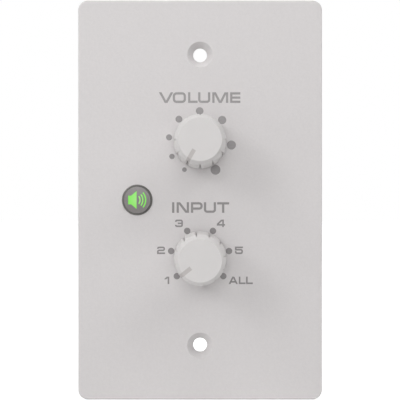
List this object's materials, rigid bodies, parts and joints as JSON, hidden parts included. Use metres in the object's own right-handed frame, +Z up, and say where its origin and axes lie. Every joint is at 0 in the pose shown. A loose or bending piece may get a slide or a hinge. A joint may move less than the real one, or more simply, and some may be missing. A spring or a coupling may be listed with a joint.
{
  "type": "audio zone controller",
  "caption": "Single-gang wall plate with a volume dial, an input selector dial, a lit push button and a circuit board with a network socket behind it.",
  "frame": {"origin": "midway between the plate's two screw holes, in the plane of its back face, which lies on the wall", "axes": "+Z up along the plate's height, -Y out of the wall towards the user, +X to the user's right; the electronics reach into the wall box along +Y"},
  "size_m": [0.0698, 0.0456, 0.1142],
  "materials": {
    "plate_paint": "fine textured powder coat, satin",
    "knob_plastic": "matt moulded plastic",
    "pointer_plastic": "matt moulded plastic",
    "bezel_plastic": "polished",
    "cap_plastic": "satin",
    "lit_lens": "lit from behind",
    "clear_plastic": "frosted clear",
    "lamp_epoxy": "tinted epoxy",
    "zinc_steel": "bright zinc plate",
    "spring_steel": "bare",
    "shaft_metal": "turned",
    "die_cast": "die cast",
    "contact_bronze": "bright",
    "board_laminate": "solder mask",
    "phenolic": "pressed laminate",
    "carbon_film": "screen printed",
    "black_moulding": "moulded",
    "white_moulding": "moulded",
    "chip_epoxy": "moulded",
    "tinned_lead": "tinned",
    "can_metal": "drawn can",
    "chip_ceramic": "fired",
    "marking_ink": "screen printed",
    "solder": "bright solder",
    "board_tracks": "copper under solder mask",
    "board_print": "screen printed"
  },
  "bodies": {
    "plate_and_board": {"board_lock_washers": "spring_steel", "board_screws": "zinc_steel", "button_bezel": "bezel_plastic", "button_bezel_clip": "spring_steel", "button_led": "lamp_epoxy", "button_led_leads": "tinned_lead", "chip_capacitors": "chip_ceramic", "chip_resistors": "chip_epoxy", "circuit_board": "board_laminate", "crystal": "can_metal", "faceplate": "plate_paint", "filter_capacitors": "can_metal", "input_switch_bushing": "die_cast", "input_switch_case": "black_moulding", "input_switch_contacts": "contact_bronze", "input_switch_detent_spring": "spring_steel", "input_switch_nut": "zinc_steel", "input_switch_terminals": "tinned_lead", "input_switch_wafer": "phenolic", "input_switch_washer": "spring_steel", "line_driver": "chip_epoxy", "line_driver_leads": "tinned_lead", "microcontroller": "chip_epoxy", "microcontroller_leads": "tinned_lead", "network_jack_contacts": "contact_bronze", "network_jack_housing": "black_moulding", "network_jack_shield": "tinned_lead", "plate_standoffs": "zinc_steel", "push_switch_housing": "black_moulding", "push_switch_spring": "spring_steel", "push_switch_terminals": "contact_bronze", "voltage_regulator": "chip_epoxy", "voltage_regulator_leads": "tinned_lead", "volume_pot_bushing": "die_cast", "volume_pot_case": "black_moulding", "volume_pot_nut": "zinc_steel", "volume_pot_terminals": "tinned_lead", "volume_pot_track": "carbon_film", "volume_pot_wafer": "phenolic", "volume_pot_washer": "spring_steel"},
    "volume_dial": {"volume_pot_shaft": "shaft_metal", "volume_pot_clip": "spring_steel", "volume_pot_rotor": "white_moulding", "volume_pot_wiper": "contact_bronze", "volume_knob": "knob_plastic", "volume_knob_pointer": "pointer_plastic", "volume_knob_spring": "spring_steel"},
    "input_dial": {"input_switch_shaft": "shaft_metal", "input_switch_clip": "spring_steel", "input_switch_rotor": "white_moulding", "input_switch_wiper": "contact_bronze", "input_knob": "knob_plastic", "input_knob_pointer": "pointer_plastic", "input_knob_spring": "spring_steel"},
    "push_button": {"button_cap": "cap_plastic", "button_icon_lens": "lit_lens", "button_diffuser": "clear_plastic", "button_plunger": "clear_plastic", "push_switch_bridge": "contact_bronze"}
  },
  "joints": [
    {"name": "volume_turn", "type": "hinge", "parent": "plate_and_board", "child": "volume_dial", "pos_m": [0, 0, 0.0165], "axis": [0, 1, 0], "range_deg": [0, 300]},
    {"name": "input_turn", "type": "hinge", "parent": "plate_and_board", "child": "input_dial", "pos_m": [0, 0, -0.0165], "axis": [0, 1, 0], "range_deg": [0, 257.14], "deforming": ["input_switch_detent_spring"]},
    {"name": "button_press", "type": "slide", "parent": "plate_and_board", "child": "push_button", "axis": [0, 1, 0], "range_m": [0, 0.001], "stiffness_N_per_m": 800, "springref_m": -0.001, "deforming": ["push_switch_spring"]}
  ]
}
